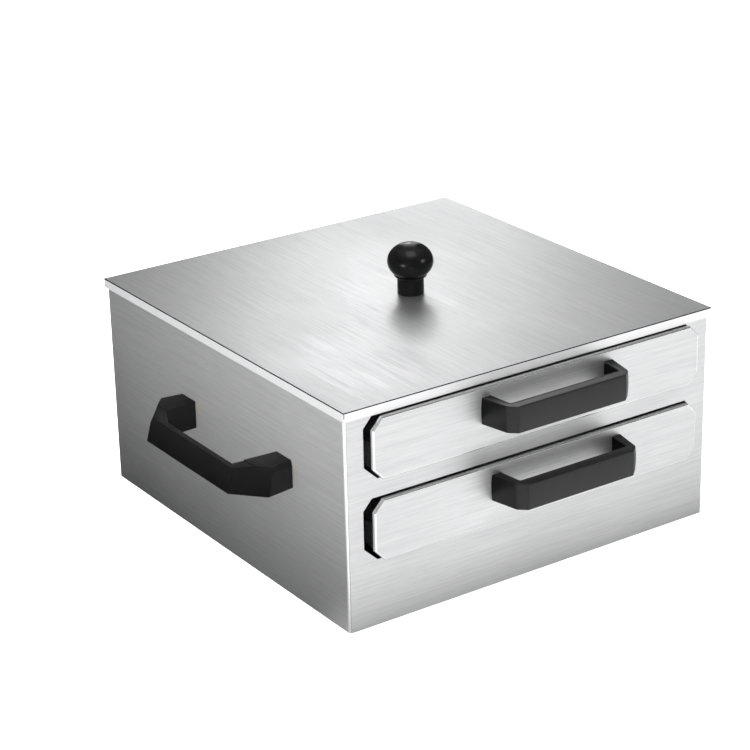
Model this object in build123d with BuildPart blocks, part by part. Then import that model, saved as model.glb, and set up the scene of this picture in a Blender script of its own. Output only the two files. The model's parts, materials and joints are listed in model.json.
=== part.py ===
from build123d import *
from math import acos, cos, degrees, radians, sin
import os

os.makedirs("parts", exist_ok=True)

# Two-drawer stove-top steamer for rice noodle rolls.
# Frame: origin at the centre of the flat base, +Z up, the drawer fronts face -Y,
# +X is to the right seen from the front. Millimetres.

# ---------------------------------------------------------------- driving sizes
body_w = 340.0            # outside width of the cabinet
body_d = 346.0            # outside depth of the cabinet, face of the front panel to the back wall
rim_z = 175.2             # height of the rim the lid rests on
sheet = 0.8               # stainless sheet of every folded piece
wall_r = 2.2              # outside bend radius of the upright corners
return_w = 12.0           # width of the side walls' returns behind the front panel
rim_w = 10.0              # width of the inward-turned rim

panel_half_w = 168.6      # half width of the front panel
front_y = -body_d / 2     # outer plane of the front panel
back_y = body_d / 2
side_x = body_w / 2

pitch = 64.3              # upper drawer over lower drawer

# octagonal drawer openings in the front panel
open_low_upper = 117.6
open_high_upper = 167.3
open_half_upper = 154.6
open_half_lower = 156.0
open_low_cut = (11.5, 10.9)     # corner cuts at the foot of an opening, across and up
open_high_cut = (7.6, 8.5)      # corner cuts at the head of an opening

# drawer face, a shallow folded pan with its corners cut off
face_half_w = 152.4
face_low_upper = 120.3
face_h = 48.6
face_cut = (8.5, 9.0)
face_return = 3.0
face_stand = 9.5                # face plane in front of the front panel
face_fold_r = 1.3

# batter tray
tray_half_w = 145.0
tray_low_upper = 122.5
tray_h = 21.0
tray_back_y = 150.0
tray_corner_r = 7.0
tray_floor_r = 3.5
lip_half_w = 151.5
lip_front_y = -150.0

# channel runners
runner_front_y = -155.0
runner_inner_x = 147.5
runner_gap = 0.2                # play under the tray lip
runner_sheet = 1.0
runner_clear_h = 4.0
runner_stop_play = 0.3

# water pan
pan_h = 44.0
pan_corner_r = 4.0
pan_floor_r = 2.5

# lid
lid_w = 344.0
lid_d = 350.0
lid_flange = 7.2
lid_fold_r = 0.7
lid_notch = 1.3
lid_top_z = rim_z + sheet

# ball knob
knob_x, knob_y = 6.5, -5.0
knob_head_a = 18.4
knob_head_b = 14.9
knob_head_z = 26.8              # centre of the head above the lid
knob_neck_r = 10.65

# drawer handle
grip_h = 21.1
grip_low_upper = 139.9
grip_x_upper = 5.0
grip_low_lower = 76.0
grip_x_lower = 14.0
grip_screw_x = 57.0
grip_plan = [(-62.2, 0), (-57.2, 24.0), (-50.0, 30.0), (50.0, 30.0), (57.2, 24.0), (62.2, 0)]
grip_gap_plan = [(-53.2, -1.0), (-50.8, 20.0), (50.8, 20.0), (53.2, -1.0)]

# side handle
side_grip_y = -21.0
side_grip_low = 90.5
side_grip_high = 113.0
side_screw_dy = 70.0
side_screw_z = 101.6

# fasteners
m4_r = 1.95
m4_hole_r = 2.2
m35_r = 1.70
m35_hole_r = 1.95
m5_r = 2.45
m5_hole_r = 2.7


def cut_corner_points(half_w, low, high, low_cut, high_cut):
    """Outline of a rectangle with its four corners cut off, counter-clockwise."""
    return [
        (-half_w + low_cut[0], low), (half_w - low_cut[0], low),
        (half_w, low + low_cut[1]), (half_w, high - high_cut[1]),
        (half_w - high_cut[0], high), (-half_w + high_cut[0], high),
        (-half_w, high - high_cut[1]), (-half_w, low + low_cut[1]),
    ]


# ================================================================ cabinet
# Side and back walls: one sheet bent round three sides. Its front ends turn
# inwards behind the front panel and its top turns inwards as the lid's rim.
with BuildPart() as cabinet_wrap:
    wrap_d = body_d - sheet
    wrap_cy = sheet / 2
    with BuildSketch(Plane.XY):
        with Locations((0, wrap_cy)):
            RectangleRounded(body_w, wrap_d, wall_r)
            RectangleRounded(body_w - 2 * sheet, wrap_d - 2 * sheet, wall_r - sheet, mode=Mode.SUBTRACT)
        with Locations((0, front_y + sheet)):
            Rectangle(2 * (side_x - return_w), 12, mode=Mode.SUBTRACT)
    extrude(amount=rim_z - sheet)
    with BuildSketch(Plane.XY.offset(rim_z - sheet)):
        with Locations((0, wrap_cy)):
            RectangleRounded(body_w, wrap_d, wall_r)
        with Locations((0, front_y - 20)):
            Rectangle(2 * (side_x - rim_w), 2 * (body_d - rim_w + 20), mode=Mode.SUBTRACT)
    extrude(amount=sheet)
    # open mitres of the rim at the two rear corners
    for sx in (-1, 1):
        mitre = Plane(origin=(sx * (side_x - rim_w), back_y - rim_w, rim_z - sheet), x_dir=(sx, 1, 0), z_dir=(0, 0, 1))
        with BuildSketch(mitre):
            with Locations((5.6, 0)):
                Rectangle(11.4, 0.5)
        extrude(amount=sheet, mode=Mode.SUBTRACT)
    # screw holes of the side handles
    for sx in (-1, 1):
        with BuildSketch(Plane.YZ.offset(sx * side_x)):
            with Locations((side_grip_y - side_screw_dy, side_screw_z), (side_grip_y + side_screw_dy, side_screw_z)):
                Circle(m4_hole_r)
        extrude(amount=2.0, both=True, mode=Mode.SUBTRACT)
cabinet_wrap.part.label = "cabinet_wrap"
export_step(cabinet_wrap.part, "parts/cabinet_wrap.step")

# Front panel: laid over the returns of the side walls, with two octagonal
# drawer openings and an inward-turned rim.
with BuildPart() as front_panel:
    with BuildSketch(Plane.XZ.offset(-front_y)):
        with Locations((0, rim_z / 2)):
            Rectangle(2 * panel_half_w, rim_z)
        with BuildLine():
            Polyline(*cut_corner_points(open_half_upper, open_low_upper, open_high_upper, open_low_cut, open_high_cut), close=True)
        make_face(mode=Mode.SUBTRACT)
        with BuildLine():
            Polyline(*cut_corner_points(open_half_lower, open_low_upper - pitch, open_high_upper - pitch, open_low_cut, open_high_cut), close=True)
        make_face(mode=Mode.SUBTRACT)
    extrude(amount=-sheet)
    with BuildSketch(Plane.XY.offset(rim_z - sheet)):
        with Locations((0, front_y + rim_w / 2)):
            Rectangle(2 * (side_x - rim_w - 0.5), rim_w)
    extrude(amount=sheet)
front_panel.part.label = "front_panel"
export_step(front_panel.part, "parts/front_panel.step")

# Water pan: the flat bottom of the cabinet with turned-up walls.
with BuildPart() as water_pan:
    pan_front = front_y + 2 * sheet
    pan_back = back_y - sheet
    with BuildSketch(Plane.XY):
        with Locations((0, (pan_front + pan_back) / 2)):
            RectangleRounded(body_w - 2 * sheet, pan_back - pan_front, pan_corner_r)
    extrude(amount=pan_h)
    fillet(water_pan.faces().sort_by(Axis.Z)[0].edges(), pan_floor_r)
    offset(amount=-sheet, openings=water_pan.faces().sort_by(Axis.Z)[-1])
water_pan.part.label = "water_pan"
export_step(water_pan.part, "parts/water_pan.step")


# Channel runner: web against the side wall, shelf under the tray lip, a flange
# over it, and a closed rear end as the drawer's stop.
def make_runner(side, shelf_z):
    wall_x = side * (side_x - sheet)
    inner_x = side * runner_inner_x
    run_len = tray_back_y + runner_stop_play + runner_sheet - runner_front_y
    low = shelf_z - runner_sheet
    high = shelf_z + runner_clear_h + runner_sheet
    with BuildPart() as runner:
        with BuildSketch(Plane.XZ.offset(-runner_front_y)):
            with Locations(((wall_x + inner_x) / 2, (low + high) / 2)):
                Rectangle(abs(wall_x - inner_x), high - low)
            with Locations(((wall_x + inner_x) / 2 - side * runner_sheet, (low + high) / 2)):
                Rectangle(abs(wall_x - inner_x), high - low - 2 * runner_sheet, mode=Mode.SUBTRACT)
        extrude(amount=-run_len)
        with BuildSketch(Plane.XZ.offset(-(tray_back_y + runner_stop_play))):
            with Locations(((wall_x + inner_x) / 2, (low + high) / 2)):
                Rectangle(abs(wall_x - inner_x), high - low)
        extrude(amount=-runner_sheet)
        # flared lead-in at the mouth of the channel
        mouth = runner.edges().filter_by(Axis.Z).group_by(Axis.Y)[0].sort_by(Axis.X)
        chamfer(mouth[0:1] + mouth[1:2] if side > 0 else mouth[-1:] + mouth[-2:-1], 3.0)
    return runner


shelf_upper = tray_low_upper + tray_h - sheet - runner_gap
upper_left_runner = make_runner(-1, shelf_upper)
upper_left_runner.part.label = "upper_left_runner"
export_step(upper_left_runner.part, "parts/upper_left_runner.step")
upper_right_runner = make_runner(1, shelf_upper)
upper_right_runner.part.label = "upper_right_runner"
export_step(upper_right_runner.part, "parts/upper_right_runner.step")
lower_left_runner = make_runner(-1, shelf_upper - pitch)
lower_left_runner.part.label = "lower_left_runner"
export_step(lower_left_runner.part, "parts/lower_left_runner.step")
lower_right_runner = make_runner(1, shelf_upper - pitch)
lower_right_runner.part.label = "lower_right_runner"
export_step(lower_right_runner.part, "parts/lower_right_runner.step")


# Side handle: a moulded bridge with two solid feet, slanting legs and a bar
# whose top lies lower than the feet and whose outer face leans outwards.
def make_side_handle(side):
    wall = side * side_x
    cy = side_grip_y

    def ring(points, reach=0.0):
        half = [(wall + side * o, cy + l) for o, l in points]
        other = [(wall + side * o, cy - l) for o, l in reversed(points)]
        return half + other

    outer_low = [(0.0, 80.5), (23.0, 83.95), (44.2, 60.0)]
    outer_high = [(0.0, 80.5), (17.4, 83.11), (37.75, 60.12)]
    gap_low = [(-2.0, 59.2), (24.0, 57.4), (30.2, 51.2)]
    gap_high = [(-2.0, 59.2), (27.3, 57.17), (33.9, 50.57)]
    with BuildPart() as handle:
        for z, pts in ((side_grip_low, outer_low), (side_grip_high, outer_high)):
            with BuildSketch(Plane.XY.offset(z)):
                with BuildLine():
                    Polyline(*ring(pts), close=True)
                make_face()
        loft(ruled=True)
        with BuildSketch(Plane.XZ.offset(-(cy + 100))):
            with BuildLine():
                Polyline(*[(wall + side * o, z) for o, z in ((29.5, side_grip_high), (34.2, side_grip_high - 4.0), (60, side_grip_high - 4.0), (60, side_grip_high + 5), (29.5, side_grip_high + 5))], close=True)
            make_face()
        extrude(amount=200, mode=Mode.SUBTRACT)
        chamfer(handle.faces().filter_by(Axis.Z).sort_by(Axis.Z)[0].edges(), 0.7)
    with BuildPart() as finger_gap:
        for z, pts in ((side_grip_low, gap_low), (side_grip_high, gap_high)):
            with BuildSketch(Plane.XY.offset(z)):
                with BuildLine():
                    Polyline(*ring(pts), close=True)
                make_face()
        loft(ruled=True)
    with BuildPart() as grip:
        add(handle.part)
        add(finger_gap.part, mode=Mode.SUBTRACT)
        with BuildSketch(Plane.YZ.offset(wall)):
            with Locations((cy - side_screw_dy, side_screw_z), (cy + side_screw_dy, side_screw_z)):
                Circle(3.52)
        extrude(amount=side * 10.0, mode=Mode.SUBTRACT)
        with BuildSketch(Plane.YZ.offset(wall)):
            with Locations((cy - side_screw_dy, side_screw_z), (cy + side_screw_dy, side_screw_z)):
                Circle(2.2)
        extrude(amount=side * 14.0, mode=Mode.SUBTRACT)
    return grip


left_side_handle = make_side_handle(-1)
left_side_handle.part.label = "left_side_handle"
export_step(left_side_handle.part, "parts/left_side_handle.step")
right_side_handle = make_side_handle(1)
right_side_handle.part.label = "right_side_handle"
export_step(right_side_handle.part, "parts/right_side_handle.step")


# A threaded brass insert: a grooved barrel along the given plane's normal.
def insert_at(plane, outer_r, bore_r, length):
    groove = 0.5
    with BuildPart() as insert:
        with BuildSketch(plane):
            Circle(outer_r)
            Circle(bore_r, mode=Mode.SUBTRACT)
        extrude(amount=length)
        with BuildSketch(plane.offset(length / 2 - 0.75)):
            Circle(outer_r + 1)
            Circle(outer_r - groove, mode=Mode.SUBTRACT)
        extrude(amount=1.5, mode=Mode.SUBTRACT)
    return insert.part


# A plain washer along the given plane's normal.
def washer_at(plane, outer_r, bore_r, thick):
    with BuildPart() as washer:
        with BuildSketch(plane):
            Circle(outer_r)
            Circle(bore_r, mode=Mode.SUBTRACT)
        extrude(amount=thick)
    return washer.part


# A pan-head screw: the head stands on the plane along -normal, the shank runs
# along +normal, and a cross recess is cut in the head.
def screw_at(plane, head_r, head_h, shank_r, length):
    with BuildPart() as screw:
        with BuildSketch(plane):
            Circle(head_r)
        extrude(amount=-head_h)
        rim = screw.edges().filter_by(GeomType.CIRCLE).sort_by(lambda e: -abs((e.center() - plane.origin).length))[0]
        fillet(rim, head_h * 0.55)
        with BuildSketch(plane):
            Circle(shank_r)
        extrude(amount=length)
        with BuildSketch(plane.offset(-head_h)):
            Rectangle(head_r * 1.05, 0.9)
            Rectangle(0.9, head_r * 1.05)
        extrude(amount=1.3, mode=Mode.SUBTRACT)
    return screw.part


side_wall_planes = []
for sx in (-1, 1):
    for dy in (-side_screw_dy, side_screw_dy):
        side_wall_planes.append((sx, side_grip_y + dy))

outer_planes = [Plane(origin=(sx * side_x, y, side_screw_z), x_dir=(0, 1, 0), z_dir=(sx, 0, 0)) for sx, y in side_wall_planes]
inner_planes = [Plane(origin=(sx * (side_x - sheet - 1.0), y, side_screw_z), x_dir=(0, 1, 0), z_dir=(sx, 0, 0)) for sx, y in side_wall_planes]
side_insert_set = [insert_at(p, 3.5, 2.0, 10.0) for p in outer_planes]
side_washer_set = [washer_at(p, 4.6, 2.15, 1.0) for p in inner_planes]
side_screw_set = [screw_at(p, 4.0, 2.6, m4_r, 12.5) for p in inner_planes]

with BuildPart() as side_handle_inserts:
    add(side_insert_set)
side_handle_inserts.part.label = "side_handle_inserts"
export_step(side_handle_inserts.part, "parts/side_handle_inserts.step")

with BuildPart() as side_handle_washers:
    add(side_washer_set)
side_handle_washers.part.label = "side_handle_washers"
export_step(side_handle_washers.part, "parts/side_handle_washers.step")

with BuildPart() as side_handle_screws:
    add(side_screw_set)
side_handle_screws.part.label = "side_handle_screws"
export_step(side_handle_screws.part, "parts/side_handle_screws.step")


# ================================================================ drawers
face_y = front_y - face_stand             # outer plane of a drawer face


def make_face_plate(low, grip_x, grip_low):
    high = low + face_h
    with BuildPart() as plate:
        with BuildSketch(Plane.XZ.offset(-face_y)):
            with BuildLine():
                Polyline(*cut_corner_points(face_half_w, low, high, face_cut, face_cut), close=True)
            make_face()
        extrude(amount=-face_return)
        fillet(plate.faces().sort_by(Axis.Y)[0].edges(), face_fold_r)
        with BuildSketch(Plane.XZ.offset(-(face_y + sheet))):
            with BuildLine():
                Polyline(*cut_corner_points(face_half_w - sheet, low + sheet, high - sheet,
                                            (face_cut[0] - 0.35, face_cut[1] - 0.35), (face_cut[0] - 0.35, face_cut[1] - 0.35)), close=True)
            make_face()
        extrude(amount=-face_return, mode=Mode.SUBTRACT)
        with BuildSketch(Plane.XZ.offset(-face_y)):
            with Locations((grip_x - grip_screw_x, grip_low + grip_h / 2), (grip_x + grip_screw_x, grip_low + grip_h / 2)):
                Circle(m35_hole_r)
        extrude(amount=-2.0, mode=Mode.SUBTRACT)
    return plate


def make_tray(low):
    tray_front = face_y + sheet
    with BuildPart() as tray:
        with BuildSketch(Plane.XY.offset(low)):
            with Locations((0, (tray_front + tray_back_y) / 2)):
                RectangleRounded(2 * tray_half_w, tray_back_y - tray_front, tray_corner_r)
        extrude(amount=tray_h)
        fillet(tray.faces().sort_by(Axis.Z)[0].edges(), tray_floor_r)
        offset(amount=-sheet, openings=tray.faces().sort_by(Axis.Z)[-1])
        # side lips that run in the channels
        for sx in (-1, 1):
            with BuildSketch(Plane.XY.offset(low + tray_h - sheet)):
                with Locations((sx * (tray_half_w - sheet + lip_half_w) / 2, (lip_front_y + tray_back_y - tray_corner_r) / 2)):
                    Rectangle(lip_half_w - tray_half_w + sheet, tray_back_y - tray_corner_r - lip_front_y)
            extrude(amount=sheet)
        # stop tongues: the lips reach the stop at the rear
        for sx in (-1, 1):
            with BuildSketch(Plane.XY.offset(low + tray_h - sheet)):
                with Locations((sx * (lip_half_w - 1.6), tray_back_y - tray_corner_r / 2 - 0.5)):
                    Rectangle(3.2, tray_corner_r + 1.0)
            extrude(amount=sheet)
    return tray


def make_grip(grip_x, low):
    with BuildPart() as grip:
        with BuildSketch(Plane.XY.offset(low)):
            with BuildLine():
                Polyline(*[(grip_x + x, face_y - o) for x, o in grip_plan], close=True)
            make_face()
            with BuildLine():
                Polyline(*[(grip_x + x, face_y - o) for x, o in grip_gap_plan], close=True)
            make_face(mode=Mode.SUBTRACT)
        extrude(amount=grip_h)
        bends = grip.edges().filter_by(Axis.Z).filter_by(lambda e: abs((face_y - e.center().Y) - 24.0) < 0.5)
        fillet(bends, 6.0)
        inner = grip.edges().filter_by(Axis.Z).filter_by(lambda e: abs((face_y - e.center().Y) - 20.0) < 0.3 and abs(abs(e.center().X - grip_x) - 50.8) < 0.3)
        fillet(inner, 1.5)
        # bevel along the upper front edge of the bar
        bar_top = grip.edges().filter_by(Axis.X).filter_by(lambda e: e.center().Z > low + grip_h - 0.1 and (face_y - e.center().Y) > 29.5)
        chamfer(bar_top, 0.8)
        # small bevel along the lower front edge
        bar_low = grip.edges().filter_by(Axis.X).filter_by(lambda e: e.center().Z < low + 0.1 and (face_y - e.center().Y) > 29.5)
        chamfer(bar_low, 0.8)
        for dx in (-grip_screw_x, grip_screw_x):
            with BuildSketch(Plane.XZ.offset(-face_y)):
                with Locations((grip_x + dx, low + grip_h / 2)):
                    Circle(2.72)
            extrude(amount=8.0, mode=Mode.SUBTRACT)
            with BuildSketch(Plane.XZ.offset(-face_y)):
                with Locations((grip_x + dx, low + grip_h / 2)):
                    Circle(1.9)
            extrude(amount=12.0, mode=Mode.SUBTRACT)
    return grip


def grip_screw_plane(x, y, z):
    return Plane(origin=(x, y, z), x_dir=(1, 0, 0), z_dir=(0, -1, 0))


upper_drawer_face = make_face_plate(face_low_upper, grip_x_upper, grip_low_upper)
upper_drawer_face.part.label = "upper_drawer_face"
export_step(upper_drawer_face.part, "parts/upper_drawer_face.step")
upper_tray = make_tray(tray_low_upper)
upper_tray.part.label = "upper_tray"
export_step(upper_tray.part, "parts/upper_tray.step")
upper_drawer_handle = make_grip(grip_x_upper, grip_low_upper)
upper_drawer_handle.part.label = "upper_drawer_handle"
export_step(upper_drawer_handle.part, "parts/upper_drawer_handle.step")

lower_drawer_face = make_face_plate(face_low_upper - pitch, grip_x_lower, grip_low_lower)
lower_drawer_face.part.label = "lower_drawer_face"
export_step(lower_drawer_face.part, "parts/lower_drawer_face.step")
lower_tray = make_tray(tray_low_upper - pitch)
lower_tray.part.label = "lower_tray"
export_step(lower_tray.part, "parts/lower_tray.step")
lower_drawer_handle = make_grip(grip_x_lower, grip_low_lower)
lower_drawer_handle.part.label = "lower_drawer_handle"
export_step(lower_drawer_handle.part, "parts/lower_drawer_handle.step")

upper_face_planes = [grip_screw_plane(grip_x_upper + dx, face_y, grip_low_upper + grip_h / 2) for dx in (-grip_screw_x, grip_screw_x)]
lower_face_planes = [grip_screw_plane(grip_x_lower + dx, face_y, grip_low_lower + grip_h / 2) for dx in (-grip_screw_x, grip_screw_x)]
upper_seat_planes = [p.offset(-(sheet + 0.8)) for p in upper_face_planes]
lower_seat_planes = [p.offset(-(sheet + 0.8)) for p in lower_face_planes]
upper_insert_set = [insert_at(p, 2.7, 1.75, 8.0) for p in upper_face_planes]
lower_insert_set = [insert_at(p, 2.7, 1.75, 8.0) for p in lower_face_planes]
upper_washer_set = [washer_at(p, 4.2, 1.9, 0.8) for p in upper_seat_planes]
lower_washer_set = [washer_at(p, 4.2, 1.9, 0.8) for p in lower_seat_planes]
upper_screw_set = [screw_at(p, 3.5, 2.3, m35_r, 10.0) for p in upper_seat_planes]
lower_screw_set = [screw_at(p, 3.5, 2.3, m35_r, 10.0) for p in lower_seat_planes]

with BuildPart() as upper_handle_inserts:
    add(upper_insert_set)
upper_handle_inserts.part.label = "upper_handle_inserts"
export_step(upper_handle_inserts.part, "parts/upper_handle_inserts.step")

with BuildPart() as upper_handle_washers:
    add(upper_washer_set)
upper_handle_washers.part.label = "upper_handle_washers"
export_step(upper_handle_washers.part, "parts/upper_handle_washers.step")

with BuildPart() as upper_handle_screws:
    add(upper_screw_set)
upper_handle_screws.part.label = "upper_handle_screws"
export_step(upper_handle_screws.part, "parts/upper_handle_screws.step")

with BuildPart() as lower_handle_inserts:
    add(lower_insert_set)
lower_handle_inserts.part.label = "lower_handle_inserts"
export_step(lower_handle_inserts.part, "parts/lower_handle_inserts.step")

with BuildPart() as lower_handle_washers:
    add(lower_washer_set)
lower_handle_washers.part.label = "lower_handle_washers"
export_step(lower_handle_washers.part, "parts/lower_handle_washers.step")

with BuildPart() as lower_handle_screws:
    add(lower_screw_set)
lower_handle_screws.part.label = "lower_handle_screws"
export_step(lower_handle_screws.part, "parts/lower_handle_screws.step")


# ================================================================ lid
# Flat lid with a folded-down flange. The flange's corners stay open.
with BuildPart() as lid_panel:
    with BuildSketch(Plane.XY.offset(lid_top_z - lid_flange)):
        Rectangle(lid_w, lid_d)
    extrude(amount=lid_flange)
    fillet(lid_panel.faces().sort_by(Axis.Z)[-1].edges(), lid_fold_r)
    with BuildSketch(Plane.XY.offset(lid_top_z - lid_flange)):
        Rectangle(lid_w - 2 * sheet, lid_d - 2 * sheet)
    extrude(amount=lid_flange - sheet, mode=Mode.SUBTRACT)
    # open corners of the flange, with the lower ends clipped
    for sx in (-1, 1):
        for sy in (-1, 1):
            with BuildSketch(Plane.XY.offset(lid_top_z - lid_flange)):
                with Locations((sx * lid_w / 2, sy * lid_d / 2)):
                    Rectangle(2 * lid_notch, 2 * lid_notch)
            extrude(amount=lid_flange - sheet, mode=Mode.SUBTRACT)
    with BuildSketch(Plane.XY.offset(lid_top_z - sheet)):
        with Locations((knob_x, knob_y)):
            Circle(m5_hole_r)
    extrude(amount=sheet, mode=Mode.SUBTRACT)
    ends = lid_panel.edges().filter_by(lambda e: abs(e.center().Z - (lid_top_z - lid_flange)) < 0.01 and e.length < 1.0)
    chamfer(ends, 0.5)
lid_panel.part.label = "lid_panel"
export_step(lid_panel.part, "parts/lid_panel.step")

# Ball knob: a flattened ball on a short straight neck.
with BuildPart() as lid_knob:
    head_z = lid_top_z + knob_head_z
    neck_ratio = knob_neck_r / knob_head_a
    neck_top = head_z - knob_head_b * (1 - neck_ratio ** 2) ** 0.5
    knob_plane = Plane(origin=(knob_x, knob_y, 0), x_dir=(1, 0, 0), z_dir=(0, -1, 0))
    # outline of the flattened ball, from the top of the neck round to the crown
    start = -degrees(acos(neck_ratio))
    sweep_deg = [start + (90 - start) * i / 9 for i in range(10)]
    outline = [(knob_head_a * cos(radians(t)), head_z + knob_head_b * sin(radians(t))) for t in sweep_deg]
    outline[0] = (knob_neck_r, neck_top)
    first = (-knob_head_a * sin(radians(start)), knob_head_b * cos(radians(start)))
    with BuildSketch(knob_plane):
        with BuildLine():
            Polyline((0, head_z + knob_head_b), (0, lid_top_z), (knob_neck_r, lid_top_z), (knob_neck_r, neck_top))
            Spline(*outline, tangents=[first, (-1, 0)])
        make_face()
    revolve(axis=Axis((knob_x, knob_y, 0), (0, 0, 1)))
    with BuildSketch(Plane.XY.offset(lid_top_z)):
        with Locations((knob_x, knob_y)):
            Circle(5.02)
    extrude(amount=14.0, mode=Mode.SUBTRACT)
    with BuildSketch(Plane.XY.offset(lid_top_z)):
        with Locations((knob_x, knob_y)):
            Circle(2.8)
    extrude(amount=19.0, mode=Mode.SUBTRACT)
    chamfer(lid_knob.edges().filter_by(GeomType.CIRCLE).filter_by(lambda e: abs(e.center().Z - lid_top_z) < 0.01 and e.radius > 10), 0.5)
lid_knob.part.label = "lid_knob"
export_step(lid_knob.part, "parts/lid_knob.step")

knob_seat = Plane(origin=(knob_x, knob_y, lid_top_z), x_dir=(1, 0, 0), z_dir=(0, 0, 1))
knob_under = Plane(origin=(knob_x, knob_y, rim_z - 1.0), x_dir=(1, 0, 0), z_dir=(0, 0, 1))
knob_insert_solid = insert_at(knob_seat, 5.0, 2.5, 14.0)
knob_washer_solid = washer_at(knob_under, 6.0, 2.65, 1.0)
knob_screw_solid = screw_at(knob_under, 4.8, 3.0, m5_r, 17.0)

with BuildPart() as knob_insert:
    add(knob_insert_solid)
knob_insert.part.label = "knob_insert"
export_step(knob_insert.part, "parts/knob_insert.step")

with BuildPart() as knob_washer:
    add(knob_washer_solid)
knob_washer.part.label = "knob_washer"
export_step(knob_washer.part, "parts/knob_washer.step")

with BuildPart() as knob_screw:
    add(knob_screw_solid)
knob_screw.part.label = "knob_screw"
export_step(knob_screw.part, "parts/knob_screw.step")
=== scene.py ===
import json
import math

import bmesh
import bpy
from mathutils import Matrix, Vector

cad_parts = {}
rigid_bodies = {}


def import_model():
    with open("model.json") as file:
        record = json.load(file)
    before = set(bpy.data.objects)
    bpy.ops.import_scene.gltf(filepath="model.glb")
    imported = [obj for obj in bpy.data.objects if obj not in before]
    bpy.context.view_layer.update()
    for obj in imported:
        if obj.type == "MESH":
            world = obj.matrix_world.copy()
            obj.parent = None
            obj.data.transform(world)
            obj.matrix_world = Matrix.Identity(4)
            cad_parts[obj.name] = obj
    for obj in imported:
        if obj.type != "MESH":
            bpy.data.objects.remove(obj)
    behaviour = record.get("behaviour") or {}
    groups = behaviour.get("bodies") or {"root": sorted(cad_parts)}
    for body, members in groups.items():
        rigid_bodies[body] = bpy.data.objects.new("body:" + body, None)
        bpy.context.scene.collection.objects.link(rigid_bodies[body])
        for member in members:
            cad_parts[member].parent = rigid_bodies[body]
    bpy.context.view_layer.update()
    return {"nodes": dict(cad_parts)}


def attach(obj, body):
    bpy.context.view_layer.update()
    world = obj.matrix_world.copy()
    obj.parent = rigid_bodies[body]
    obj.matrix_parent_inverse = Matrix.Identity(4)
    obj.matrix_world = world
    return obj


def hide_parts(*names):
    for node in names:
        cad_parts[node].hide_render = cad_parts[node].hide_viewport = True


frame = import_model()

NODES = frame["nodes"]
scene = bpy.context.scene
MM = 0.001


# ------------------------------------------------------------------ node helpers
class Graph:
    """A small helper for writing node trees."""

    def __init__(self, tree):
        self.t = tree

    def node(self, kind, **props):
        n = self.t.nodes.new(kind)
        for k, v in props.items():
            setattr(n, k, v)
        return n

    def link(self, a, b):
        self.t.links.new(a, b)

    def put(self, socket, value):
        if isinstance(value, bpy.types.NodeSocket):
            self.link(value, socket)
        else:
            socket.default_value = value

    def math(self, op, a, b=0.0, c=0.0, clamp=False):
        n = self.node("ShaderNodeMath", operation=op, use_clamp=clamp)
        self.put(n.inputs[0], a)
        self.put(n.inputs[1], b)
        if len(n.inputs) > 2:
            self.put(n.inputs[2], c)
        return n.outputs[0]

    def vec(self, x, y, z):
        n = self.node("ShaderNodeCombineXYZ")
        for i, v in enumerate((x, y, z)):
            self.put(n.inputs[i], v)
        return n.outputs[0]

    def split(self, v):
        n = self.node("ShaderNodeSeparateXYZ")
        self.link(v, n.inputs[0])
        return n.outputs

    def noise(self, vector, scale=1.0, detail=2.0, rough=0.5):
        n = self.node("ShaderNodeTexNoise")
        self.link(vector, n.inputs["Vector"])
        n.inputs["Scale"].default_value = scale
        n.inputs["Detail"].default_value = detail
        n.inputs["Roughness"].default_value = rough
        return n.outputs["Fac"]

    def remap(self, v, a, b, c, d, smooth=False):
        n = self.node("ShaderNodeMapRange")
        if smooth:
            n.interpolation_type = "SMOOTHSTEP"
        self.put(n.inputs["Value"], v)
        for key, val in (("From Min", a), ("From Max", b), ("To Min", c), ("To Max", d)):
            self.put(n.inputs[key], val)
        return n.outputs["Result"]

    def blend(self, f, a, b):
        n = self.node("ShaderNodeMix", data_type="RGBA")
        self.put(n.inputs["Factor"], f)
        for key, v in (("A", a), ("B", b)):
            s = [i for i in n.inputs if i.name == key and i.type == "RGBA"][0]
            if isinstance(v, bpy.types.NodeSocket):
                self.link(v, s)
            else:
                s.default_value = (*v, 1.0)
        return [o for o in n.outputs if o.type == "RGBA"][0]


def new_material(name):
    m = bpy.data.materials.new(name)
    m.use_nodes = True
    m.node_tree.nodes.clear()
    g = Graph(m.node_tree)
    shader = g.node("ShaderNodeBsdfPrincipled")
    out = g.node("ShaderNodeOutputMaterial")
    g.link(shader.outputs[0], out.inputs["Surface"])
    return m, g, shader


# ------------------------------------------------------------------ steel
STEEL_METALLIC = 0.95     # the rest scatters, as a fine matt grain does


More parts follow.
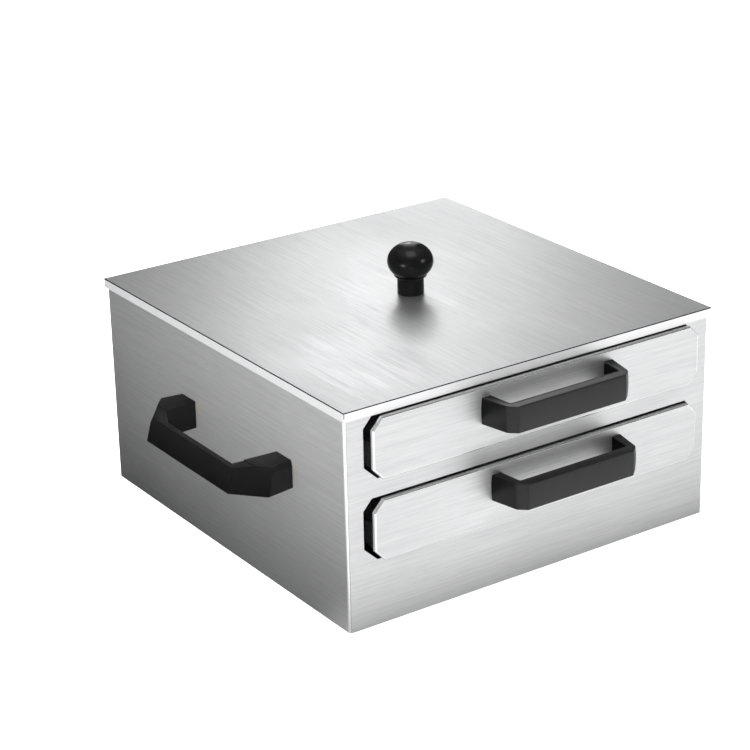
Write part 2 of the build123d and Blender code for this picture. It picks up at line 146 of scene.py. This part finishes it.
def brushed_steel(name, run, dark, light, rough, spread=0.5):
    """Stainless sheet with a drawn grain. run names how the grain lies on the piece."""
    m, g, s = new_material(name)
    tc = g.node("ShaderNodeTexCoord")
    x, y, z = g.split(tc.outputs["Object"])
    way = [g.math("ABSOLUTE", v) for v in g.split(tc.outputs["Normal"])]
    nx = way[0]
    # tones set to follow the photo, with painted light: painted highlights on the bright folds, a painted shade line
    # along the lid's fold, a painted lighter flange below it
    flat = g.math("MAXIMUM", g.math("MAXIMUM", way[0], way[1]), way[2])
    fold = g.remap(flat, 0.985, 0.998, 1.0, 0.0)
    flange = g.remap(way[2], 0.3, 0.6, 1.0 if run == "lid" else 0.0, 0.0)
    fold_painted_shade_and_highlight = (0.03, 0.03, 0.032) if run == "lid" else (0.86, 0.862, 0.866)
    flange_painted_light = g.blend(g.remap(nx, 0.4, 0.7, 0.0, 1.0), (0.69, 0.692, 0.696), (0.75, 0.752, 0.756))
    if run == "around":        # level round the upright walls
        across, along = z, g.math("ADD", x, y)
        tangent = g.vec(0.0, 0.0, 1.0)
    elif run == "width":       # level across the front
        across, along = z, x
        tangent = g.vec(0.0, 0.0, 1.0)
    elif run == "lid":         # front to back over the top, folded down with the sheet
        side = g.math("GREATER_THAN", nx, 0.6)
        across = g.math("ADD", x, g.math("MULTIPLY", z, side))
        along = g.math("ADD", y, z)
        tangent = g.vec(g.math("SUBTRACT", 1.0, side), 0.0, side)
    else:                      # "depth": front to back
        across, along = g.math("ADD", x, z), y
        tangent = g.vec(1.0, 0.0, 0.2)
    long_hair = g.noise(g.vec(g.math("MULTIPLY", across, 620.0), g.math("MULTIPLY", along, 11.0), 0.0), 1.0, 3.0, 0.6)
    short_hair = g.noise(g.vec(g.math("MULTIPLY", across, 2100.0), g.math("MULTIPLY", along, 55.0), 3.0), 1.0, 2.0, 0.5)
    cloud = g.noise(tc.outputs["Object"], 9.0, 3.0, 0.5)
    hair = g.math("ADD", g.math("MULTIPLY", long_hair, 0.6), g.math("MULTIPLY", short_hair, 0.4))
    ground = g.blend(g.remap(hair, 0.3, 0.7, 0.0, 1.0), dark, light)
    # painted light: the lid's flange gets a lighter tone, lighter again on the side flanges than on the front
    ground = g.blend(flange, ground, flange_painted_light)
    # painted shade: a dark line along the lid's fold; painted highlight: a light tone on the folds of the walls, front
    # and inner pieces
    g.link(g.blend(fold, ground, fold_painted_shade_and_highlight), s.inputs["Base Color"])
    # the flange scatters more than the rest, which keeps it light on every side
    g.link(g.math("SUBTRACT", STEEL_METALLIC, g.math("MULTIPLY", flange, g.math("MULTIPLY", g.math("SUBTRACT", 1.0, fold), 0.27))), s.inputs["Metallic"])
    r = g.math("ADD", g.remap(hair, 0.3, 0.7, rough + 0.05, rough - 0.05), g.remap(cloud, 0.3, 0.7, -0.02, 0.03))
    g.link(g.math("SUBTRACT", r, g.math("MULTIPLY", fold, rough - 0.22)), s.inputs["Roughness"])
    b = g.node("ShaderNodeBump")
    b.inputs["Strength"].default_value = 0.12
    b.inputs["Distance"].default_value = 0.0001
    g.link(hair, b.inputs["Height"])
    g.link(b.outputs[0], s.inputs["Normal"])
    g.link(tangent, s.inputs["Tangent"])
    s.inputs["Anisotropic"].default_value = spread
    return m


def plain_metal(name, dark, light, rough, scale=60.0):
    """Cut or rolled metal with a fine uneven surface."""
    m, g, s = new_material(name)
    tc = g.node("ShaderNodeTexCoord")
    fine = g.noise(tc.outputs["Object"], scale * 12, 3.0, 0.6)
    cloud = g.noise(tc.outputs["Object"], scale, 3.0, 0.5)
    g.link(g.blend(g.remap(cloud, 0.3, 0.7, 0.0, 1.0), dark, light), s.inputs["Base Color"])
    g.link(g.math("ADD", g.remap(fine, 0.3, 0.7, rough - 0.05, rough + 0.07), g.remap(cloud, 0.3, 0.7, -0.03, 0.03)), s.inputs["Roughness"])
    b = g.node("ShaderNodeBump")
    b.inputs["Strength"].default_value = 0.1
    b.inputs["Distance"].default_value = 0.0001
    g.link(fine, b.inputs["Height"])
    g.link(b.outputs[0], s.inputs["Normal"])
    s.inputs["Metallic"].default_value = 1.0
    return m


def bakelite(name, rough, shine):
    """Black moulded resin: satin skin with a faint moulding texture."""
    m, g, s = new_material(name)
    tc = g.node("ShaderNodeTexCoord")
    grit = g.noise(tc.outputs["Object"], 1400.0, 2.0, 0.5)
    flow = g.noise(tc.outputs["Object"], 45.0, 3.0, 0.5)
    g.link(g.blend(g.remap(flow, 0.3, 0.7, 0.0, 1.0), (0.0036, 0.0036, 0.0038), (0.0052, 0.0052, 0.0055)), s.inputs["Base Color"])
    g.link(g.math("ADD", g.remap(flow, 0.3, 0.7, rough - 0.03, rough + 0.04), g.remap(grit, 0.3, 0.7, -0.02, 0.02)), s.inputs["Roughness"])
    b = g.node("ShaderNodeBump")
    b.inputs["Strength"].default_value = 0.08
    b.inputs["Distance"].default_value = 0.0001
    g.link(grit, b.inputs["Height"])
    g.link(b.outputs[0], s.inputs["Normal"])
    s.inputs["IOR"].default_value = 1.50
    s.inputs["Specular IOR Level"].default_value = shine
    return m


STEEL_DARK, STEEL_LIGHT = (0.628, 0.632, 0.638), (0.756, 0.758, 0.762)
wrap_steel = brushed_steel("steel_walls", "around", STEEL_DARK, STEEL_LIGHT, 0.50, 0.35)
front_steel = brushed_steel("steel_front", "width", STEEL_DARK, STEEL_LIGHT, 0.50, 0.35)
lid_steel = brushed_steel("steel_lid", "lid", STEEL_DARK, STEEL_LIGHT, 0.50, 0.35)
inner_steel = brushed_steel("steel_inner", "depth", (0.52, 0.525, 0.53), (0.62, 0.622, 0.625), 0.33, 0.2)
zinc = plain_metal("zinc_plate", (0.60, 0.60, 0.58), (0.72, 0.72, 0.70), 0.28, 160.0)
brass = plain_metal("brass_turned", (0.62, 0.42, 0.16), (0.78, 0.58, 0.27), 0.26, 160.0)
handle_black = bakelite("bakelite_handle", 0.32, 0.30)
side_black = bakelite("bakelite_side", 0.36, 0.22)
knob_black = bakelite("bakelite_knob", 0.20, 0.30)

FINISH = {}
for n in ("cabinet_wrap",):
    FINISH[n] = wrap_steel
for n in ("front_panel", "upper_drawer_face", "lower_drawer_face"):
    FINISH[n] = front_steel
FINISH["lid_panel"] = lid_steel
for n in NODES:
    if n.endswith("_runner") or n.endswith("_tray") or n == "water_pan":
        FINISH[n] = inner_steel
    elif n.endswith("_inserts") or n.endswith("_insert"):
        FINISH[n] = brass
    elif n.endswith(("_screws", "_screw", "_washers", "_washer")):
        FINISH[n] = zinc
    elif n.endswith("_handle"):
        FINISH[n] = handle_black
    elif n == "lid_knob":
        FINISH[n] = knob_black
for n, o in NODES.items():
    for slot in o.material_slots:
        slot.material = FINISH[n]


# ------------------------------------------------------------------ moulded pieces
def new_piece(name, bm):
    """A mesh object from a bmesh given in millimetres."""
    bmesh.ops.scale(bm, vec=(MM, MM, MM), verts=bm.verts)
    bmesh.ops.recalc_face_normals(bm, faces=bm.faces)
    me = bpy.data.meshes.new(name)
    bm.to_mesh(me)
    bm.free()
    o = bpy.data.objects.new(name, me)
    scene.collection.objects.link(o)
    return o


def loft(sections):
    """A closed skin through matching closed sections, capped at both ends."""
    bm = bmesh.new()
    rings = [[bm.verts.new(p) for p in s] for s in sections]
    n = len(rings[0])
    for a, b in zip(rings, rings[1:]):
        for k in range(n):
            bm.faces.new((a[k], a[(k + 1) % n], b[(k + 1) % n], b[k]))
    bm.faces.new(rings[0])
    bm.faces.new(list(reversed(rings[-1])))
    bmesh.ops.remove_doubles(bm, verts=bm.verts, dist=1e-4)
    bmesh.ops.recalc_face_normals(bm, faces=bm.faces)
    return bm


def bore(o, holes):
    """Blind round holes cut into a piece, in millimetres: mouth, direction, radius, depth."""
    for mouth, direction, radius, depth in holes:
        way = Vector(direction)
        bm = bmesh.new()
        place = Matrix.Translation(Vector(mouth) + way * (depth / 2 - 0.5)) @ way.to_track_quat("Z", "Y").to_matrix().to_4x4()
        bmesh.ops.create_cone(bm, cap_ends=True, segments=32, radius1=radius, radius2=radius, depth=depth + 1.0, matrix=place)
        drill = new_piece("drill", bm)
        cut = o.modifiers.new("bore", "BOOLEAN")
        cut.operation, cut.solver, cut.object = "DIFFERENCE", "EXACT", drill
        bpy.context.view_layer.update()
        done = bpy.data.meshes.new_from_object(o.evaluated_get(bpy.context.evaluated_depsgraph_get()))
        o.modifiers.clear()
        o.data = done
        bpy.data.objects.remove(drill)


def finish_piece(o, body, node, material, sharp):
    o.data.shade_smooth()
    o.data.set_sharp_from_angle(angle=math.radians(sharp))
    o.data.materials.clear()
    o.data.materials.append(material)
    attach(o, body)
    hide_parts(node)


def corner(before, at, after, radius, steps):
    """The points of a round corner in a plan outline."""
    p, q, r = Vector(before), Vector(at), Vector(after)
    u, v = (p - q).normalized(), (r - q).normalized()
    half = u.angle(v) / 2
    reach = radius / math.tan(half)
    centre = q + (u + v).normalized() * (radius / math.sin(half))
    start, end = q + u * reach - centre, q + v * reach - centre
    turn = start.angle_signed(end)
    out = []
    for k in range(steps + 1):
        a = -turn * k / steps
        out.append(centre + Vector((start.x * math.cos(a) - start.y * math.sin(a), start.x * math.sin(a) + start.y * math.cos(a))))
    return out


def drawer_grip(name, body, node, mid_x, low):
    """Bridge handle: tapering legs, round corners and a bar with a slightly crowned skin."""
    height, face = 21.1, -182.5
    outer = [(-62.2, 0.0), (-57.2, 24.0), (-50.0, 30.0)]
    inner_foot = (-53.086, 0.0)
    outs = [Vector(outer[0]), Vector(outer[0]).lerp(Vector(outer[1]), 0.4)]
    outs += corner(outer[0], outer[1], outer[2], 6.0, 7)
    outs += corner(outer[1], outer[2], (0.0, 30.0), 1.6, 4)
    ins = [Vector(inner_foot), Vector(inner_foot).lerp(Vector((-50.8, 20.0)), 0.4)]
    ins += corner(inner_foot, (-50.8, 20.0), (0.0, 20.0), 1.5, 7)
    ins += [Vector((-49.2 + 0.3 * k, 20.0)) for k in range(5)]
    for x in (-32.0, -16.0, 0.0):
        outs.append(Vector((x, 30.0)))
        ins.append(Vector((x, 20.0)))
    outs += [Vector((-p.x, p.y)) for p in reversed(outs[:-1])]
    ins += [Vector((-p.x, p.y)) for p in reversed(ins[:-1])]
    crown, r_out, r_in, half = 0.6, 0.7, 0.5, height / 2
    skin = []                                        # (from the outer side, height), bottom to top
    for k in range(5):
        a = math.pi / 2 * k / 4
        skin.append((crown + r_out - r_out * math.sin(a), r_out - r_out * math.cos(a)))
    for k in range(1, 8):
        z = r_out + (height - 2 * r_out) * k / 8
        skin.append((crown * ((z - half) / (half - r_out)) ** 2, z))
    for k in range(5):
        a = math.pi / 2 * k / 4
        skin.append((crown + r_out - r_out * math.cos(a), height - r_out + r_out * math.sin(a)))
    back = []                                        # (from the gap side, height), top to bottom
    for k in range(4):
        a = math.pi / 2 * k / 3
        back.append((r_in - r_in * math.sin(a), height - r_in + r_in * math.cos(a)))
    for k in range(4):
        a = math.pi / 2 * k / 3
        back.append((r_in - r_in * math.cos(a), r_in - r_in * math.sin(a)))
    sections = []
    for o, i in zip(outs, ins):
        way = (i - o).normalized()
        ring = [(o + way * u, z) for u, z in skin] + [(i - way * u, z) for u, z in back]
        sections.append([(mid_x + p.x, face - p.y, low + z) for p, z in ring])
    piece = new_piece(name, loft(sections))
    for dx in (-57.0, 57.0):
        mouth = (mid_x + dx, face, low + half)
        bore(piece, [(mouth, (0, -1, 0), 2.72, 8.0), (mouth, (0, -1, 0), 1.9, 12.0)])
    finish_piece(piece, body, node, handle_black, 30)


def side_grip(name, node, side):
    """Carrying handle: solid feet, slanting legs, a sunk bar, and a band with a fine groove round its rim."""
    low, high, cy = 90.5, 113.0, -21.0

    def outside(p0, p1, p2):
        u, v = Vector(p1), Vector(p2)
        return [Vector(p0)] + corner(p0, p1, p2, 1.3, 4) + [u.lerp(v, t) for t in (0.34, 0.38, 0.42, 0.46, 0.50)] + corner(p1, p2, (p2[0], 0.0), 1.3, 4)

    def inside(p0, p1, p2):
        u, v = Vector(p0), Vector(p1)
        return [u] + [u.lerp(v, t) for t in (0.56, 0.60, 0.64, 0.68, 0.72)] + corner(p0, p1, p2, 1.0, 4) + corner(p1, p2, (p2[0], 0.0), 1.0, 4)

    o_low, o_high = outside((0.0, 80.5), (23.0, 83.95), (44.2, 60.0)), outside((0.0, 80.5), (17.4, 83.11), (37.75, 60.12))
    g_low, g_high = inside((0.0, 59.06), (24.0, 57.4), (30.2, 51.2)), inside((0.0, 59.06), (27.3, 57.17), (33.9, 50.57))
    tops = [113.0] * 6 + [113.0, 112.95, 112.8, 112.5, 112.1] + [109.5, 109.2, 109.05, 109.0, 109.0]
    skin = [                                          # side, set in from it, height over the foot or the top
        ("g", 0.45, 0.0, 0), ("o", 0.75, 0.0, 0), ("o", 0.05, 0.75, 0), ("o", 0.0, 1.1, 0),
        ("o", 0.0, -4.1, 1), ("o", 0.22, -3.7, 1), ("o", 0.95, -0.75, 1), ("o", 1.10, -0.62, 1),
        ("o", 1.30, -1.15, 1), ("o", 1.62, -0.28, 1), ("o", 1.95, 0.0, 1),
        ("g", 0.5, 0.0, 1), ("g", 0.12, -0.15, 1), ("g", 0.0, -0.55, 1), ("g", 0.0, 0.5, 0), ("g", 0.12, 0.12, 0),
    ]

    def section(k, flip):
        ring = []
        for which, inset, rise, at_top in skin:
            z = (tops[k] if at_top else low) + rise
            t = (z - low) / (high - low)
            o, g = o_low[k].lerp(o_high[k], t), g_low[k].lerp(g_high[k], t)
            way = (g - o).normalized()
            q = o + way * inset if which == "o" else g - way * inset
            ring.append(Vector((side * (170.0 + q.x), cy + flip * q.y, z)))
        return ring

    count = len(tops)
    piece = new_piece(name, loft([section(k, 1) for k in range(count)] + [section(k, -1) for k in reversed(range(count))]))
    for dy in (-70.0, 70.0):
        mouth = (side * 170.0, cy + dy, 101.6)
        bore(piece, [(mouth, (side, 0, 0), 3.52, 10.0), (mouth, (side, 0, 0), 2.2, 14.0)])
    finish_piece(piece, "cabinet", node, side_black, 26)


def ball_knob():
    """Flattened ball on a neck, a bead under the ball where the mould parts."""
    cx, cy, seat = 6.5, -5.0, 176.0
    a, b, mid = 18.4, 14.9, 202.8
    line = [(0.0, 195.0), (2.8, 195.0), (2.8, 190.0), (5.02, 190.0), (5.02, seat)]
    line += [(10.15, seat), (10.5, seat + 0.15), (10.65, seat + 0.5), (10.62, 182.0), (10.6, 188.2)]
    line += [(10.68, 189.2), (10.95, 189.9), (11.5, 190.35), (12.1, 190.55)]
    for k in range(7):
        t = math.radians(-80 + 150 * k / 6)
        line.append((12.45 + 0.55 * math.cos(t), 191.1 + 0.55 * math.sin(t)))
    for k in range(1, 49):
        t = math.radians(-43.0 + (90.0 + 43.0) * k / 48)
        line.append((a * math.cos(t) if k < 48 else 0.0, mid + b * math.sin(t)))
    steps = 96
    bm = bmesh.new()
    rings = []
    for r, z in line:
        rings.append([bm.verts.new((cx + r * math.cos(2 * math.pi * k / steps), cy + r * math.sin(2 * math.pi * k / steps), z)) for k in range(steps)])
    for p, q in zip(rings, rings[1:]):
        for k in range(steps):
            bm.faces.new((p[k], p[(k + 1) % steps], q[(k + 1) % steps], q[k]))
    bmesh.ops.remove_doubles(bm, verts=bm.verts, dist=1e-4)
    finish_piece(new_piece("ball_knob", bm), "lid", "lid_knob", knob_black, 40)


drawer_grip("upper_grip", "upper_drawer", "upper_drawer_handle", 5.0, 139.9)
drawer_grip("lower_grip", "lower_drawer", "lower_drawer_handle", 14.0, 76.0)
side_grip("left_carry_grip", "left_side_handle", -1)
side_grip("right_carry_grip", "right_side_handle", 1)
ball_knob()

# the matt walls show no mirror image of the plates and carrying handles before them
for n in ("upper_drawer_face", "lower_drawer_face"):
    NODES[n].visible_glossy = False
for n in ("left_carry_grip", "right_carry_grip"):
    bpy.data.objects[n].visible_glossy = False


# ------------------------------------------------------------------ camera
def aim_camera():
    az, el, roll = (math.radians(v) for v in (-34.063, 22.381, -1.297))
    back = Vector((math.sin(az) * math.cos(el), -math.cos(az) * math.cos(el), math.sin(el)))
    right0 = Vector((math.cos(az), math.sin(az), 0.0))
    up0 = back.cross(right0)
    right = right0 * math.cos(roll) + up0 * math.sin(roll)
    up = -right0 * math.sin(roll) + up0 * math.cos(roll)
    place = Vector((0, 0, 88.0)) + right * -22.037 + up * 15.762 + back * 1913.299
    data = bpy.data.cameras.new("view_camera")
    data.lens, data.sensor_width, data.sensor_fit = 113.69, 36.0, "AUTO"
    data.clip_start, data.clip_end = 0.05, 50.0
    cam = bpy.data.objects.new("view_camera", data)
    scene.collection.objects.link(cam)
    cam.matrix_world = Matrix((
        (right.x, up.x, back.x, place.x * MM),
        (right.y, up.y, back.y, place.y * MM),
        (right.z, up.z, back.z, place.z * MM),
        (0, 0, 0, 1)))
    scene.camera = cam


aim_camera()


# ------------------------------------------------------------------ stage
def sheet_mesh(name, points, faces):
    me = bpy.data.meshes.new(name)
    me.from_pydata(points, [], faces)
    o = bpy.data.objects.new(name, me)
    scene.collection.objects.link(o)
    return o


def lathe_points(profile, steps):
    pts, faces = [], []
    for r, z in profile:
        for k in range(steps):
            a = 2 * math.pi * k / steps
            pts.append((r * math.cos(a), r * math.sin(a), z))
    for i in range(len(profile) - 1):
        for k in range(steps):
            k2 = (k + 1) % steps
            faces.append((i * steps + k, i * steps + k2, (i + 1) * steps + k2, (i + 1) * steps + k))
    return pts, faces


# pale floor that sweeps up into a dome far away
sweep = [(0.001, 0.0), (1.0, 0.0), (3.0, 0.0), (6.0, 0.0)]
for i in range(1, 13):
    a = math.pi / 2 * i / 12
    sweep.append((6.0 + 2.0 * math.sin(a), 2.0 - 2.0 * math.cos(a)))
for i in range(1, 13):
    a = math.pi / 2 * i / 12
    sweep.append((8.0 * math.cos(a) + 0.001, 2.0 + 6.0 * math.sin(a)))
pts, faces = lathe_points(sweep, 96)
floor = sheet_mesh("studio_floor", pts, faces)
floor.data.shade_smooth()
mat, g, s = new_material("pale_floor")
tc = g.node("ShaderNodeTexCoord")
g.link(g.blend(g.noise(tc.outputs["Object"], 3.0, 2.0), (0.80, 0.80, 0.80), (0.84, 0.84, 0.84)), s.inputs["Base Color"])
s.inputs["Roughness"].default_value = 0.9
s.inputs["Specular IOR Level"].default_value = 0.0
s.inputs["Emission Color"].default_value = (1, 1, 1, 1)
s.inputs["Emission Strength"].default_value = 0.62
floor.data.materials.append(mat)
floor.visible_glossy = False

# what the steel mirrors below: the floor's brightness, falling off close to the cabinet
R = 2.4
bounce = sheet_mesh("floor_bounce", [(-R, -R, -0.0008), (R, -R, -0.0008), (R, R, -0.0008), (-R, R, -0.0008)], [(0, 1, 2, 3)])
mat, g, s = new_material("floor_bounce")
tc = g.node("ShaderNodeTexCoord")
x, y, z = g.split(tc.outputs["Object"])
gap = g.math("SUBTRACT", g.math("ABSOLUTE", x), 0.17)
front_gap = g.math("SUBTRACT", g.math("MULTIPLY", y, -1.0), 0.173)
# beside the cabinet: dim close to it, brighter further out and towards the front
beside = g.remap(gap, 0.07, 0.34, 0.13, 1.12, True)
fore = g.remap(g.math("SUBTRACT", y, g.math("MULTIPLY", gap, 1.48)), 0.17, -0.14, 0.03, 1.20, True)
side_level = g.math("MULTIPLY", beside, fore)
# before it: lit, dimmer close to it and a little dimmer to the right
ahead = g.remap(front_gap, 0.0, 0.16, 1.04, 1.60, True)
slant = g.remap(g.math("SUBTRACT", x, g.math("MULTIPLY", front_gap, 0.67)), 0.02, 0.20, 1.0, 0.93, True)
front_level = g.math("MULTIPLY", ahead, slant)
is_front = g.remap(y, -0.12, -0.24, 0.0, 1.0)
level = g.math("ADD", g.math("MULTIPLY", front_level, is_front), g.math("MULTIPLY", side_level, g.math("SUBTRACT", 1.0, is_front)))
# behind it: lit, for the back wall alone
behind = g.math("MULTIPLY", g.remap(gap, -0.03, 0.0, 1.0, 0.0), g.remap(y, 0.175, 0.34, 0.45, 1.15, True))
level = g.math("ADD", level, g.math("MULTIPLY", behind, g.math("GREATER_THAN", y, 0.175)))
s.inputs["Base Color"].default_value = (0, 0, 0, 1)
s.inputs["Roughness"].default_value = 1.0
s.inputs["Specular IOR Level"].default_value = 0.0
s.inputs["Emission Color"].default_value = (1, 1, 1, 1)
g.link(level, s.inputs["Emission Strength"])
mat.cycles.emission_sampling = "NONE"
bounce.data.materials.append(mat)
bounce.visible_camera = False
bounce.visible_diffuse = False
bounce.visible_shadow = False
bounce.visible_transmission = False


# ------------------------------------------------------------------ light
def light_only(light, name, pieces, shade=None):
    """Let a light reach only these pieces, and only the pieces in shade block it."""
    group = bpy.data.collections.new(name)
    for o in pieces:
        group.objects.link(o)
    light.light_linking.receiver_collection = group
    if shade:
        light.light_linking.blocker_collection = group


GRIPS = [bpy.data.objects[n] for n in ("upper_grip", "lower_grip")]
SIDES = [bpy.data.objects[n] for n in ("left_carry_grip", "right_carry_grip")]
KNOB = [bpy.data.objects["ball_knob"]]
METAL = [o for n, o in NODES.items() if not n.endswith("_handle") and n != "lid_knob"]
light_only(bounce, "bounce_on_metal", METAL + GRIPS)


def area(name, place, target, size_x, size_y, radiance, half_spread=None, diffuse=True):
    d = bpy.data.lights.new(name, "AREA")
    d.shape = "RECTANGLE"
    d.size, d.size_y = size_x, size_y
    d.energy = radiance * math.pi * size_x * size_y
    if half_spread:                                   # a narrow beam, with the same radiance in its middle
        h = math.radians(half_spread)
        d.spread = 2 * h
        d.energy *= (math.tan(h) - h) / math.tan(h)
    o = bpy.data.objects.new(name, d)
    scene.collection.objects.link(o)
    o.location = place
    o.rotation_euler = (Vector(target) - Vector(place)).to_track_quat("-Z", "Y").to_euler()
    o.visible_camera = False
    o.visible_diffuse = diffuse
    return o


away = Vector((0.559, 0.829, 0.0))
area("back_softbox", tuple(away * 0.85 + Vector((0, 0, 0.66))), (0, 0, 0.17), 0.40, 0.84, 1.50)
area("corner_softbox", (0.522, 0.847, 0.671), (-0.15, -0.15, 0.176), 0.18, 0.18, 9.0, 8.0)
# a fill from the front left, for the metal as it is seen from behind
light_only(area("fill_softbox", tuple(away * -1.2 + Vector((0, 0, 1.05))), (0, 0, 0.17), 1.1, 0.7, 0.75), "fill_on_metal", METAL)
# the black pieces have their own lights
light_only(area("grip_top", (-0.1, -0.25, 1.5), (0, -0.1, 0.15), 1.1, 1.1, 7.0), "grip_top_on", GRIPS + SIDES)
light_only(area("grip_rim", (0.465, 0.49, 0.493), (0.0, -0.2, 0.13), 0.50, 0.40, 1.3), "grip_rim_on", GRIPS, True)
light_only(area("knob_top", (-0.1, -0.25, 1.5), (0, 0, 0.2), 0.8, 0.8, 1.8), "knob_top_on", KNOB)
light_only(area("knob_right", (0.62, -0.95, 0.55), (0.0, 0.0, 0.2), 0.36, 0.30, 4.0), "knob_right_on", KNOB)
light_only(area("knob_left", (-0.95, -0.35, 0.10), (0.0, 0.0, 0.2), 0.34, 0.30, 6.0), "knob_left_on", KNOB)

world = bpy.data.worlds.new("soft_room")
scene.world = world
world.use_nodes = True
world.node_tree.nodes.clear()
g = Graph(world.node_tree)
tc = g.node("ShaderNodeTexCoord")
x, y, z = g.split(tc.outputs["Generated"])
bg = g.node("ShaderNodeBackground")
wo = g.node("ShaderNodeOutputWorld")
walls = g.blend(g.remap(z, 0.15, 0.62, 0.0, 1.0), (0.11, 0.11, 0.11), (0.06, 0.06, 0.06))
g.link(g.blend(g.remap(z, 0.62, 0.88, 0.0, 1.0, True), walls, (0.42, 0.42, 0.42)), bg.inputs["Color"])
g.link(bg.outputs[0], wo.inputs["Surface"])
scene.view_settings.view_transform = "Standard"
scene.view_settings.look = "None"
